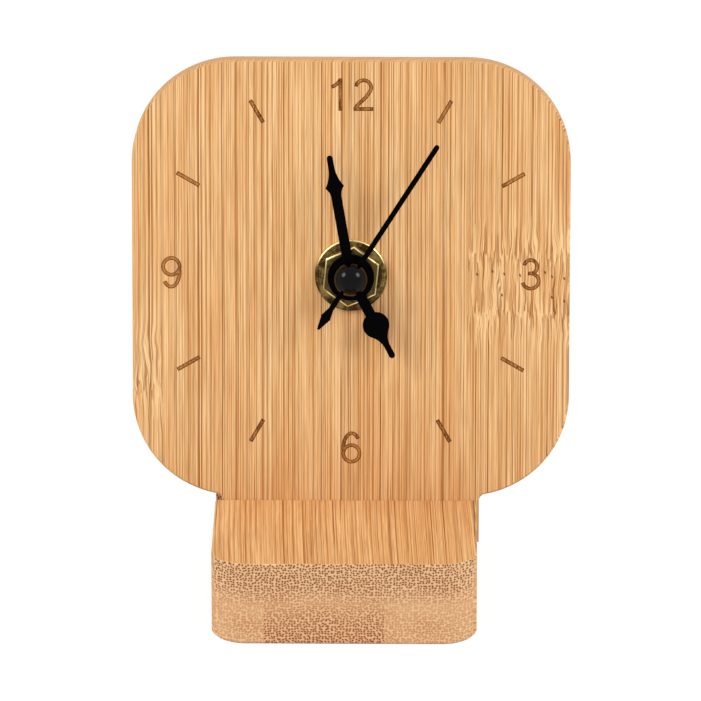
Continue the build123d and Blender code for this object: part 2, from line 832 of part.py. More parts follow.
# Second hand: a rod with a diamond-shaped tail, on a small collet
diamond_at = second_tail - diamond_point
diamond_start = diamond_at - diamond_flank
with BuildPart() as second_hand:
    with BuildSketch(hand_plane(second_hand_height, second_hand_angle)) as second_outline:
        half_rod = second_rod_width / 2
        box_sketch(-half_rod, half_rod, -diamond_at, second_length - half_rod)
        with Locations((0, second_length - half_rod)):
            Circle(half_rod)
        with BuildLine():
            Polyline(
                (half_rod, -diamond_start),
                (diamond_width / 2, -diamond_at),
                (0, -second_tail),
                (-diamond_width / 2, -diamond_at),
                (-half_rod, -diamond_start),
                close=True,
            )
        make_face()
        Circle(second_hub_radius)
        fillet(second_outline.vertices().sort_by(Axis.Y)[0], diamond_tip_radius)
    extrude(amount=second_hand_thickness)
    add_round(hub_place, arbor_top, cap_height, second_collet_radius)
    cut_round(hub_place, arbor_top, second_hand_height, arbor_radius)

# Domed cap over the collet
with BuildPart() as hub_cap:
    with BuildSketch(section_plane()):
        with BuildLine():
            cap_top = cap_height + cap_radius
            Line((0, cap_height), (cap_radius, cap_height))
            RadiusArc((cap_radius, cap_height), (0, cap_top), -cap_radius)
            Line((0, cap_top), (0, cap_height))
        make_face()
    revolve(axis=out_axis)
    cut_round(hub_place, arbor_top, cap_height, second_collet_radius)

pieces = {
    "base_block": base_block,
    "dial_panel": dial_panel,
    "gasket": gasket,
    "dial_washer": dial_washer,
    "hex_nut": hex_nut,
    "threaded_bush": threaded_bush,
    "movement_tray": movement_tray,
    "rear_cover": rear_cover,
    "train_bridge": train_bridge,
    "rotor": rotor,
    "fifth_wheel": fifth_wheel,
    "second_wheel": second_wheel,
    "third_wheel": third_wheel,
    "centre_wheel": centre_wheel,
    "cannon_pinion": cannon_pinion,
    "minute_work_wheel": minute_work_wheel,
    "hour_wheel": hour_wheel,
    "setting_knob": setting_knob,
    "stator": stator,
    "coil_bobbin": coil_bobbin,
    "coil_winding": coil_winding,
    "circuit_board": circuit_board,
    "crystal_can": crystal_can,
    "battery_cell": battery_cell,
    "hour_hand": hour_hand,
    "minute_hand": minute_hand,
    "second_hand": second_hand,
    "hub_cap": hub_cap,
}
pieces.update(contact_pieces)

for name, piece in pieces.items():
    piece.part.label = name
    export_step(piece.part, f"parts/{name}.step")
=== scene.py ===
"""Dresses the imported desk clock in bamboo, aged brass, black hands and a plain quartz movement."""

import json
import logging
import math
from dataclasses import dataclass, field, replace
from enum import Enum
from typing import Any, Callable, Iterable, Sequence

import bmesh
import bpy
from mathutils import Matrix, Vector

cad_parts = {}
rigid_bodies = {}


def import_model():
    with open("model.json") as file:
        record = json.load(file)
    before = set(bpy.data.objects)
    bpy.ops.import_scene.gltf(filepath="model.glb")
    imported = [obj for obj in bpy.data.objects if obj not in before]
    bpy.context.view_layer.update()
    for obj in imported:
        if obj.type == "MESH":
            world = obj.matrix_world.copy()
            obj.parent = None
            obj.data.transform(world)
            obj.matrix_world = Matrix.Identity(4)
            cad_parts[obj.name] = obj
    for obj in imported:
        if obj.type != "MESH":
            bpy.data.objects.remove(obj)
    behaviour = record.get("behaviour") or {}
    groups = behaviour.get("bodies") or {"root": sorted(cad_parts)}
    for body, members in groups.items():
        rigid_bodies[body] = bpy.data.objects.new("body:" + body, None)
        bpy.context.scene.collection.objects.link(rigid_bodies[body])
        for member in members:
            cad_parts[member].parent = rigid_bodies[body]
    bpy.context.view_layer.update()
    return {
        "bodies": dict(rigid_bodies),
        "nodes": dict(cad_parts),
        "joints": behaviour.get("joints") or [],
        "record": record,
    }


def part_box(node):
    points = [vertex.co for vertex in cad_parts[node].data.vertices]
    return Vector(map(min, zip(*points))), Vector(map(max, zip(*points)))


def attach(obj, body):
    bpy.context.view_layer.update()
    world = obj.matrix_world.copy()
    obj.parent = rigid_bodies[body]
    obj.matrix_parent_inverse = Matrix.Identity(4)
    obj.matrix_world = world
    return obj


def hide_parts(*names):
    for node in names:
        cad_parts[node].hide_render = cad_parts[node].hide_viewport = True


LOG = logging.getLogger("desk_clock")
MM = 0.001
CELL_BARE_ENDS = (0.8, 1.8)  # how much of the battery its sleeve leaves bare, in millimetres

Colour = tuple[float, float, float, float]
Pair = tuple[float, float]
Path = list[Pair]


def tone(red: float, green: float, blue: float) -> Colour:
    """Turns a colour as seen on a screen, 0 to 255, into the linear one that shaders take."""
    seen = (value / 255 for value in (red, green, blue))
    straight = [v / 12.92 if v <= 0.04045 else ((v + 0.055) / 1.055) ** 2.4 for v in seen]
    return (straight[0], straight[1], straight[2], 1.0)


def around(centre: Pair, radii: Pair, angle: float) -> Pair:
    """Gives the point of an upright ellipse at an angle in radians."""
    return (centre[0] + radii[0] * math.cos(angle), centre[1] + radii[1] * math.sin(angle))


def add_object(name: str, data: bpy.types.ID) -> bpy.types.Object:
    """Links an object with the given data to the scene."""
    made = bpy.data.objects.new(name, data)
    bpy.context.scene.collection.objects.link(made)
    return made


def write_mesh(work: bmesh.types.BMesh, mesh: bpy.types.Mesh) -> bpy.types.Mesh:
    """Writes a worked mesh into a plain one and frees the work."""
    work.to_mesh(mesh)
    work.free()
    return mesh


def wire(
    tree: bpy.types.NodeTree, kind: str, settings: dict[str, Any], inputs: dict[Any, Any]
) -> bpy.types.Node:
    """Adds a node to a tree, sets it up and links it.

    Args:
        tree: The node tree.
        kind: The node's type.
        settings: Properties to set first.
        inputs: Sockets to link or values to set, by socket name or index.

    Returns:
        The node.
    """
    made = tree.nodes.new(kind)
    for key, value in settings.items():
        setattr(made, key, value)
    for key, value in inputs.items():
        if isinstance(value, bpy.types.NodeSocket):
            tree.links.new(value, made.inputs[key])
        else:
            made.inputs[key].default_value = value
    return made


def aimed(
    name: str, data: bpy.types.ID, aim: Vector, azimuth: float, elevation: float, distance: float
) -> bpy.types.Object:
    """Adds a lamp or a camera that looks at a point, from angles in degrees and a distance."""
    a, e = math.radians(azimuth), math.radians(elevation)
    away = Vector((math.sin(a) * math.cos(e), -math.cos(a) * math.cos(e), math.sin(e)))
    made = add_object(name, data)
    made.location = aim + away * distance
    made.rotation_euler = away.to_track_quat("Z", "Y").to_euler()
    return made


class Slot(Enum):
    """The record's material slots."""

    PANEL = "bamboo_panel"
    BASE = "bamboo_base"
    BRASS = "aged_brass"
    HAND = "black_hand"
    GLOSS = "black_gloss"
    CASE = "case_plastic"
    ACETAL = "white_plastic"
    RUBBER = "black_rubber"
    STEEL = "plain_steel"
    COPPER = "copper_wire"
    BOARD = "board_green"
    SLEEVE = "cell_sleeve"


class Numeral(Enum):
    """The four numbers burnt into the dial, by the hour at which they stand."""

    TWELVE = 12
    THREE = 3
    SIX = 6
    NINE = 9


def _operator(operation: str, swapped: bool = False) -> Callable[..., "Flow"]:
    """Makes a method that adds a Math node over a flow and other values, before it or after."""

    def method(flow: "Flow", *others: Any) -> "Flow":
        """Adds a Math node over the flow and the other values."""
        values = (*others, flow) if swapped else (flow, *others)
        return flow.paint.node("Math", {"operation": operation}, dict(enumerate(values)))

    return method


class Flow:
    """One output of a shader node, which adds a Math node when it is calculated with."""

    __add__ = __radd__ = _operator("ADD")
    __sub__ = _operator("SUBTRACT")
    __rsub__ = _operator("SUBTRACT", swapped=True)
    __mul__ = __rmul__ = _operator("MULTIPLY")
    __truediv__ = _operator("DIVIDE")
    __abs__ = _operator("ABSOLUTE")
    floor = _operator("FLOOR")
    over = _operator("GREATER_THAN")
    larger = _operator("MAXIMUM")

    def __init__(self, paint: "Canvas", socket: bpy.types.NodeSocket) -> None:
        """Keeps the canvas that owns the node and the output socket."""
        self.paint = paint
        self.socket = socket

    def ease(self, start: float, end: float) -> "Flow":
        """Rises smoothly from 0 at start to 1 at end, or falls where end is the smaller."""
        low, high = min(start, end), max(start, end)
        first, last = (0.0, 1.0) if start < end else (1.0, 0.0)
        inputs = {"Value": self, "From Min": low, "From Max": high, "To Min": first, "To Max": last}
        return self.paint.node("MapRange", {"interpolation_type": "SMOOTHSTEP"}, inputs)


class Canvas:
    """Adds shader nodes to the tree of a material or a world."""

    def __init__(self, owner: Any) -> None:
        """Empties the node tree of its owner, a material or a world."""
        owner.use_nodes = True
        self.tree = owner.node_tree
        self.tree.nodes.clear()

    def node(
        self, kind: str, settings: dict[str, Any], inputs: dict[Any, Any], output: Any = 0
    ) -> Any:
        """Adds a node, sets it up and links it.

        Args:
            kind: The node's type without its ShaderNode prefix.
            settings: Properties to set first.
            inputs: Values or flows by socket name or index.
            output: The socket to hand on, or None for a node without one.

        Returns:
            The chosen output, or None.
        """
        fed = {key: getattr(value, "socket", value) for key, value in inputs.items()}
        made = wire(self.tree, "ShaderNode" + kind, settings, fed)
        return None if output is None else Flow(self, made.outputs[output])

    def _feed(self, socket: bpy.types.NodeSocket, value: Any) -> None:
        """Links a flow to a socket, or sets the socket's own value."""
        if isinstance(value, Flow):
            self.tree.links.new(value.socket, socket)
        else:
            socket.default_value = value

    def shown(self) -> Flow:
        """Gives 1 where a camera, mirror or glass ray looks, and 0 where light is gathered."""
        kinds = ("Camera", "Glossy", "Transmission")
        rays = [self.node("LightPath", {}, {}, f"Is {kind} Ray") for kind in kinds]
        return rays[0].larger(rays[1]).larger(rays[2])


class Paint(Canvas):
    """Builds one material's node tree around a Principled shader."""

    def __init__(self, name: str) -> None:
        """Makes an empty material of the given name, with its shader and output."""
        self.material = bpy.data.materials.new(name)
        super().__init__(self.material)
        self.shader = self.tree.nodes.new("ShaderNodeBsdfPrincipled")
        self.finish(Flow(self, self.shader.outputs["BSDF"]))

    def finish(self, surface: Flow) -> None:
        """Makes a shader the material's surface."""
        output = self.tree.nodes.get("surface") or self.tree.nodes.new("ShaderNodeOutputMaterial")
        output.name = "surface"
        self._feed(output.inputs["Surface"], surface)

    def set(self, **values: Any) -> "Paint":
        """Feeds the shader's sockets, named with underscores for spaces."""
        for name, value in values.items():
            self._feed(self.shader.inputs[name.replace("_", " ")], value)
        return self

    def place(
        self, origin: Sequence[float] = (0, 0, 0), turn: float = 0.0
    ) -> tuple[Flow, Flow, Flow]:
        """Gives the place in millimetres from an origin in metres, on axes turned about X."""
        inputs = {
            "Vector": self.node("TexCoord", {}, {}, "Object"),
            "Location": origin,
            "Rotation": (turn, 0, 0),
            "Scale": (MM, MM, MM),
        }
        return self.split(self.node("Mapping", {"vector_type": "TEXTURE"}, inputs))

    def split(self, vector: Flow) -> tuple[Flow, Flow, Flow]:
        """Splits a vector into its three values."""
        outputs = self.node("SeparateXYZ", {}, {0: vector}).socket.node.outputs
        return Flow(self, outputs[0]), Flow(self, outputs[1]), Flow(self, outputs[2])

    def join(self, x: Any, y: Any, z: Any) -> Flow:
        """Joins three values into a vector."""
        return self.node("CombineXYZ", {}, {0: x, 1: y, 2: z})

    def noise(self, x: Any, y: Any, z: Any, detail: float = 1.0, roughness: float = 0.5) -> Flow:
        """Adds smooth noise of about 0 to 1 over three values."""
        spot = self.join(x, y, z)
        inputs = {"Vector": spot, "Scale": 1.0, "Detail": detail, "Roughness": roughness}
        return self.node("TexNoise", {}, inputs)

    def chance(self, value: Flow) -> tuple[Flow, Flow, Flow]:
        """Gives three random numbers for each whole value."""
        colour = self.node("TexWhiteNoise", {"noise_dimensions": "1D"}, {"W": value}, "Color")
        return self.split(colour)

    def mix(self, share: Any, first: Any, second: Any, mode: str = "MIX") -> Flow:
        """Blends two colours by a share."""
        settings = {"data_type": "RGBA", "blend_type": mode}
        return self.node("Mix", settings, {0: share, 6: first, 7: second}, 2)

    def bump(self, height: Flow, distance: float, strength: float = 1.0) -> Flow:
        """Turns a height of 0 to 1 into a normal, for a relief of the given depth in metres."""
        return self.node(
            "Bump", {}, {"Strength": strength, "Distance": distance, "Height": height}
        )


@dataclass(frozen=True)
class CulmJoint:
    """A joint of the bamboo culm, where the fibres wander and small holes show.

    Attributes:
        left: Left end across the strips, in millimetres.
        right: Right end.
        middle: Its height along the fibres.
        reach: Half of its height.
        breaks: Heights at which the fibres are offset.
        holes: Places of its small holes.
    """

    left: float
    right: float
    middle: float
    reach: float
    breaks: tuple[float, ...] = ()
    holes: tuple[tuple[float, float], ...] = ()


@dataclass(frozen=True)
class EndGrain:
    """The dotted grain where saw cuts meet the fibres.

    Attributes:
        dots: The fibres' ends.
        wood: The wood between them.
        warm: The redder wood of some blocks.
        web: The palest wood, in a net between the dots.
        pitch: Distance between dots in millimetres.
        top: Place of the skin through the piece, where the dots are densest.
        joint: Place of the glued joint between its two layers, or one beyond a single layer.
        cover: Share of the long grain's lines that it hides.
    """

    dots: Colour = tone(78, 38, 12)
    wood: Colour = tone(215, 168, 122)
    warm: Colour = tone(202, 143, 99)
    web: Colour = tone(244, 200, 154)
    pitch: float = 0.68
    top: float = 19.5
    joint: float = 9.85
    cover: float = 1.0


@dataclass(frozen=True)
class FibreSet:
    """One of the sets of dark fibres that run through bamboo.

    Attributes:
        per_mm: How many there are to a millimetre.
        shift: What sets their places apart from another set's.
        fading: How fast they fade along their length, against the coarsest.
        wide: Half the width at which a fibre ends, as a share of their distance.
        thin: Half the width over which it is full.
        strength: How dark they are.
    """

    per_mm: float
    shift: float
    fading: float
    wide: float
    thin: float
    strength: float


@dataclass(frozen=True)
class Bamboo:
    """Laminated bamboo, drawn through the solid so that all its faces agree.

    Attributes:
        name: The material's name.
        origin: Where the piece's own zero lies, in metres.
        turn: How far the piece's axes are turned about X.
        along: Which of the piece's axes the fibres follow, 1 or 2.
        first_joint: Place of one glued joint between strips.
        strip_width: Width of a strip.
        sway: How far the fibres sway from straight, in millimetres.
        skew: Slope of the fibres across the piece.
        pale: The lightest wood.
        warm: The warmer wood between.
        fibre: The dark fibres.
        joints: The culm joints that show.
        end_grain: The grain of the sawn ends.
        fibres: The sets of fibres, the coarsest first.
        fading: How fast the coarsest fade along their length, per millimetre.
        layering: How far the fibres move sideways for each millimetre of depth.
    """

    name: str
    origin: Sequence[float]
    turn: float
    along: int
    first_joint: float
    strip_width: float
    sway: float = 0.2
    skew: float = 0.0
    pale: Colour = tone(252, 212, 156)
    warm: Colour = tone(239, 185, 124)
    fibre: Colour = tone(141, 75, 6)
    joints: tuple[CulmJoint, ...] = ()
    end_grain: EndGrain = EndGrain()
    fibres: tuple[FibreSet, ...] = (
        FibreSet(0.85, 0.0, 1.0, 0.17, 0.05, 1.0),
        FibreSet(1.6, 7.7, 1.3, 0.20, 0.06, 0.95),
        FibreSet(3.1, 3.1, 1.7, 0.26, 0.08, 0.62),
    )
    fading: float = 0.022
    layering: float = 0.9

    def material(self) -> bpy.types.Material:
        """Builds the material."""
        paint = Paint(self.name)
        spot = paint.place(self.origin, self.turn)
        across, length, through = spot[0], spot[self.along], spot[3 - self.along]
        layer = (through - self.end_grain.joint).over(0)
        strip = ((across - self.first_joint) / self.strip_width + layer * 0.37).floor() + layer * 29
        luck = paint.chance(strip)
        stray, ragged, holes = self._culm_effects(paint, across, length, through)
        wander = paint.noise(across * 0.02 + luck[0] * 9, length * self.fading, through * 0.02)
        straight = across + length * self.skew + through * self.layering
        course = straight + (wander - 0.5) * 2 * self.sway + stray + luck[1] * 41
        fade = length * self.fading + luck[2] * 31
        dark: Any = 0.0
        for fibres in self.fibres:
            dark = self._lines(paint, course, fade, fibres).larger(dark)
        broad = paint.noise(course * 0.55, fade, luck[0] * 5, 3.0, 0.6)
        hair = paint.noise(course * 7.0, length * 0.10, luck[1], 2.0, 0.6)
        wood = paint.mix(broad.ease(0.30, 0.66), self.pale, self.warm)
        wood = paint.mix(hair.ease(0.40, 0.75) * 0.40, wood, self.fibre)
        wood = paint.mix(luck[0] * 0.15, wood, tone(214, 150, 90))
        if self.joints:
            wood = paint.mix(ragged.ease(0.46, 0.34) * 0.50, wood, self.fibre)
        wood = paint.mix(dark * 0.95, wood, self.fibre)
        if self.joints:
            wood = paint.mix(ragged.ease(0.54, 0.66) * 0.55, wood, self.pale)
            wood = paint.mix(holes * 0.82, wood, tone(60, 28, 8))
        ruddy = abs(strip).ease(0.6, 0.4)
        wood = self._sawn_ends(paint, wood, (across, length, through), luck, ruddy)
        paint.set(Base_Color=wood, Roughness=dark * 0.1 + 0.56, Specular_IOR_Level=0.14)
        return paint.set(Normal=paint.bump(1 - dark, 0.00002, 0.4)).material

    def _lines(self, paint: Paint, course: Flow, fade: Flow, fibres: FibreSet) -> Flow:
        """Draws long thin fibres, each of its own strength, that fade along their length.

        Args:
            paint: The material in hand.
            course: Place across the fibres in millimetres.
            fade: Place along them, in units of the length over which the coarsest fade.
            fibres: The set to draw.

        Returns:
            The strength of the fibre at each place, 0 to 1.
        """
        inputs = {"W": course * fibres.per_mm + fibres.shift, "Scale": 1.0}
        apart = paint.node("TexVoronoi", {"voronoi_dimensions": "1D"}, inputs)
        luck = paint.split(Flow(paint, apart.socket.node.outputs["Color"]))
        presence = paint.noise(luck[0] * 60, fade * fibres.fading, luck[1] * 7)
        drawn = apart.ease(fibres.wide, fibres.thin) * presence.ease(0.25, 0.50)
        return drawn * (luck[2] * 0.75 + 0.25) * fibres.strength

    def _culm_effects(
        self, paint: Paint, across: Flow, length: Flow, through: Flow
    ) -> tuple[Any, Any, Any]:
        """Works out what the culm joints do to the fibres.

        Args:
            paint: The material in hand.
            across: Place across the strips.
            length: Place along the fibres.
            through: Place through the piece.

        Returns:
            The sideways stray in millimetres, the ragged light and shade round 0.5, and
            the share of hole at each place.
        """
        stray: Any = 0.0
        ragged: Any = 0.5
        holes: Any = 0.0
        grain = across + through * self.layering
        for joint in self.joints:
            middle = (joint.left + joint.right) / 2
            half = (joint.right - joint.left) / 2
            inside = abs(across - middle).ease(half + 0.3, half - 0.3)
            near = abs(length - joint.middle).ease(joint.reach, joint.reach * 0.45) * inside
            swirl = paint.noise(grain * 0.45, length * 0.11, 4.0)
            stray = stray + near * (swirl - 0.5) * 2.2
            for height in joint.breaks:
                teeth = paint.noise(grain * 1.9, height, 8.0, 2.0)
                edge = length - height + (teeth - 0.5) * 12
                above = edge.over(0) * inside
                stray = stray + above * 5.3
                streak = paint.noise(grain * 2.3 + above * 17, length * 0.06, height)
                taper = abs(edge) * 0.018
                light = (streak - 0.52 - taper).ease(0.0, 0.07)
                shade = (0.48 - taper - streak).ease(0.0, 0.07)
                ragged = ragged + (light - shade) * inside * 0.25
            for x, y in joint.holes:
                rise = length - y
                inputs = {0: paint.join(across + rise * 0.25, rise * 0.6, 0.0), 1: (x, 0, 0)}
                reach = paint.node("VectorMath", {"operation": "DISTANCE"}, inputs, "Value")
                holes = reach.ease(0.30, 0.14).larger(holes)
        return stray, ragged, holes

    def _sawn_ends(
        self,
        paint: Paint,
        wood: Flow,
        spot: tuple[Flow, Flow, Flow],
        luck: tuple[Flow, Flow, Flow],
        ruddy: Flow,
    ) -> Flow:
        """Lays the dotted end grain over the faces that the fibres meet.

        Args:
            paint: The material in hand.
            wood: The long grain's colour.
            spot: Places across, along and through the block.
            luck: The strip's three random numbers.
            ruddy: 1 in the strip whose wood is the redder one.

        Returns:
            The colour with its end grain.
        """
        grain = self.end_grain
        across, length, through = spot
        world = paint.node("TexCoord", {}, {}, "Normal")
        settings = {"rotation_type": "X_AXIS", "invert": True}
        normal = paint.node("VectorRotate", settings, {"Vector": world, "Angle": self.turn})
        facing = abs(paint.split(normal)[self.along])
        depth = length * 0.01
        bend = paint.noise(across * 0.25, through * 0.25, 6.0) * 1.5
        x = across / grain.pitch + luck[1] * 31 + bend
        z = through / grain.pitch * 1.12 + luck[2] * 17 + bend
        inputs = {"Vector": paint.join(x, z, depth), "Scale": 1.0, "Randomness": 0.62}
        near = paint.node("TexVoronoi", {"voronoi_dimensions": "2D"}, inputs)
        upper = (through - grain.joint).over(0)
        skin = abs(through - grain.joint) / abs(grain.top - grain.joint)
        crowd = paint.noise(across * 0.10, through * 0.16, 2.0, 2.0)
        strength = skin.ease(-0.3, 0.85) * (0.66 + upper * 0.28) + crowd * 0.5
        strength = strength * (1 - (1 - upper) * (1 - ruddy) * 0.50)
        mottle = paint.noise(across * 2.4, through * 2.4, depth, 3.0)
        red = (crowd.ease(0.35, 0.65) * 0.45).larger(ruddy * (skin * 0.6 + 0.4) * (1 - upper))
        ground = paint.mix(red, grain.wood, grain.warm)
        ground = paint.mix(mottle.ease(0.45, 0.80) * 0.35, ground, tone(186, 128, 80))
        ground = paint.mix(near.ease(0.42, 0.58) * 0.60, ground, grain.web)
        ends = paint.mix(near.ease(0.37, 0.14) * strength.ease(0.0, 1.1), ground, grain.dots)
        seam = abs(through - grain.joint).ease(0.20, 0.06)
        ends = paint.mix(seam * 0.15, ends, tone(150, 98, 56))
        return paint.mix(facing.ease(0.30, 0.50) * grain.cover, wood, ends)


@dataclass(frozen=True)
class BurntMark:
    """The floor or the edge of a mark that is burnt into the dial.

    Attributes:
        name: The material's name.
        colour: The scorched wood.
        char: Its darkest spots.
    """

    name: str
    colour: Colour
    char: Colour

    def material(self) -> bpy.types.Material:
        """Builds the material."""
        paint = Paint(self.name)
        x, y, z = paint.place()
        soot = paint.noise(x * 3.4, y * 3.4, z * 3.4, 3.0, 0.6)
        fibres = paint.noise(x * 2.0, y * 0.2, z * 0.2)
        depth = paint.noise(x * 0.09, y * 0.09, z * 0.09)
        mottle = soot.ease(0.40, 0.58) * 0.55 + fibres.ease(0.43, 0.57) * 0.45
        share = mottle * (depth.ease(0.30, 0.60) * 0.55 + 0.45)
        paint.set(Base_Color=paint.mix(share, self.colour, self.char))
        return paint.set(Roughness=0.75, Specular_IOR_Level=0.1).material


@dataclass(frozen=True)
class AgedBrass:
    """Plain brass with tarnish, and painted highlights along the washer's upper rim and the nut's
    edges, laid as brass worn bright.

    Attributes:
        origin: The hub's place in metres.
        turn: The dial's turn about X.
        nut_turn: Turn of the nut's flats in degrees.
        nut_half: Half the nut's width across flats.
        nut_base: Height over the dial at which the nut starts.
        nut_reach: Radius inside which the nut lies.
        rim: Radius of the washer.
        name: The material's name.
        bright: Painted highlight on the rims, as of brass worn bright.
        middle: Brass as it is.
        dull: Tarnish, also laid over the whole nut.
    """

    origin: Sequence[float]
    turn: float
    nut_turn: float = -6.0
    nut_half: float = 6.1
    nut_base: float = 1.0
    nut_reach: float = 7.2
    rim: float = 8.25
    name: str = "aged brass"
    bright: Colour = tone(250, 226, 160)
    middle: Colour = tone(134, 110, 62)
    dull: Colour = tone(58, 44, 24)

    def material(self) -> bpy.types.Material:
        """Builds the material."""
        paint = Paint(self.name)
        x, y, z = paint.place(self.origin, self.turn)
        flat = paint.join(x, y, 0.0)
        radius = paint.node("VectorMath", {"operation": "LENGTH"}, {0: flat}, "Value")
        flats: Any = 0.0
        for side in range(3):
            angle = math.radians(self.nut_turn + 60 * side)
            flats = abs(x * math.cos(angle) + y * math.sin(angle)).larger(flats)
        patch = paint.noise(x * 0.5, y * 0.5, z * 0.5, 4.0, 0.62)
        grit = paint.noise(x * 5, y * 5, z * 5, 3.0)
        rings = paint.noise(radius * 4.5, z, 0.0, 2.0)
        on_nut = z.ease(self.nut_base, self.nut_base + 0.1)
        on_nut = on_nut * radius.ease(self.nut_reach + 0.2, self.nut_reach)
        # Painted highlights: bright brass along the nut's edges, fainter towards its left and right
        # corners, and along the washer's rim on its upper part only, where the lamps' reflections
        # fall; laid as wear as well.
        highlight_side_falloff = 1 - abs(x).ease(5.2, 5.9) * 0.6
        nut_edge_highlight = abs(flats - (self.nut_half - 0.12)).ease(0.24, 0.10) * on_nut * highlight_side_falloff
        rim_highlight = abs(radius - (self.rim - 0.10)).ease(0.30, 0.12) * (1 - on_nut)
        # The painted highlight's share, kept to the upper rim and broken into patches.
        worn = nut_edge_highlight.larger(rim_highlight * y.ease(1.0, 5.0)) * patch.ease(0.30, 0.46)
        # The dull share: patchy tarnish, and the whole nut made darker.
        dull_share = (patch * 0.65 + rings * 0.35).ease(0.42, 0.56).larger(on_nut * 0.70)
        metal = paint.mix(dull_share, self.middle, self.dull)
        metal = paint.mix(worn * 0.9, metal, self.bright)
        paint.set(Base_Color=metal, Metallic=1.0, Roughness=dull_share * 0.16 + grit * 0.12 + 0.22)
        return paint.set(Normal=paint.bump(grit * 0.5 + rings * 0.5, 0.00002, 0.4)).material


@dataclass(frozen=True)
class PlainFinish:
    """An even finish, with fine texture where it is moulded or painted.

    Attributes:
        name: The material's name.
        colour: Its colour.
        metallic: 1 for bare metal.
        roughness: How matt it is.
        gloss: Specular level of its surface.
        grain: Size of one bump of its texture in millimetres, or 0.
        relief: Depth of that texture in metres.
    """

    name: str
    colour: Colour
    metallic: float = 0.0
    roughness: float = 0.5
    gloss: float = 0.5
    grain: float = 0.0
    relief: float = 0.0

    def material(self) -> bpy.types.Material:
        """Builds the material."""
        paint = Paint(self.name)
        paint.set(Base_Color=self.colour, Metallic=self.metallic)
        paint.set(Roughness=self.roughness, Specular_IOR_Level=self.gloss)
        if self.grain:
            x, y, z = paint.place()
            size = 1 / self.grain
            height = paint.noise(x * size, y * size, z * size, 2.0)
            paint.set(Normal=paint.bump(height, self.relief, 0.6))
        return paint.material


@dataclass(frozen=True)
class WoundWire:
    """Fine copper wire, wound in close turns along X, with painted shade between the turns."""

    name: str = "wound copper wire"
    turns_per_mm: float = 5.0

    def material(self) -> bpy.types.Material:
        """Builds the material."""
        paint = Paint(self.name)
        x = paint.place()[0]
        turn = paint.node("Math", {"operation": "PINGPONG"}, {0: x * self.turns_per_mm, 1: 0.5}) * 2
        # Painted shade and light: each turn's colour darkens towards its edges and lightens at its
        # crown, where a round wire would be shaded and lit.
        paint.set(Base_Color=paint.mix(turn, tone(120, 58, 30), tone(214, 130, 84)))
        paint.set(Metallic=0.9, Roughness=0.34, Normal=paint.bump(turn, 0.00008, 0.8))
        return paint.material


@dataclass(frozen=True)
class CellSleeve:
    """The battery: a plain sleeve between bare steel ends.

    Attributes:
        name: The material's name.
        ends: Places along X, in millimetres, where the sleeve ends.
    """

    ends: tuple[float, float]
    name: str = "plain cell sleeve"

    def material(self) -> bpy.types.Material:
        """Builds the material."""
        paint = Paint(self.name)
        x = paint.place()[0]
        low, high = self.ends
        bare = x.ease(high - 0.05, high + 0.05).larger(x.ease(low + 0.05, low - 0.05))
        paint.set(Base_Color=paint.mix(bare, tone(112, 118, 126), tone(200, 200, 198)))
        return paint.set(Metallic=bare * 0.6 + 0.4, Roughness=0.34 - bare * 0.10).material


@dataclass(frozen=True)
class DialAxes:
    """The dial's own axes: x right, y up the panel, z out of the dial, in millimetres.

    Attributes:
        centre: The hub's place on the dial's face, in metres.
        lean: How far the dial leans back.
    """

    centre: tuple[float, float, float]
    lean: float

    @classmethod
    def from_record(cls, record: dict[str, Any], joint: str = "second_turn") -> "DialAxes":
        """Reads the axes from the joint that turns on the hub."""
        hub = next(j for j in record["behaviour"]["joints"] if j["name"] == joint)
        return cls(tuple(hub["pos_m"]), math.asin(abs(hub["axis"][2])))

    @property
    def turn(self) -> float:
        """The turn about X that lays the flat axes into the dial's plane."""
        return math.pi / 2 - self.lean

    def matrix(self) -> Matrix:
        """Gives the matrix from the dial's millimetres to metres in the world."""
        return (
            Matrix.Translation(Vector(self.centre))
            @ Matrix.Rotation(self.turn, 4, "X")
            @ Matrix.Scale(MM, 4)
        )


@dataclass(frozen=True)
class Relief:
    """How a solid lies in the stroke that it cuts or fills.

    Attributes:
        inset: How far it lies inside the stroke's outline.
        low: Height of its underside over the dial.
        high: Height of its top.
        finish: The material of its faces.
    """

    inset: float
    low: float
    high: float
    finish: bpy.types.Material

    def lowered(self, drop: float) -> "Relief":
        """Gives the same relief a little lower."""
        return replace(self, low=self.low - drop, high=self.high - drop)


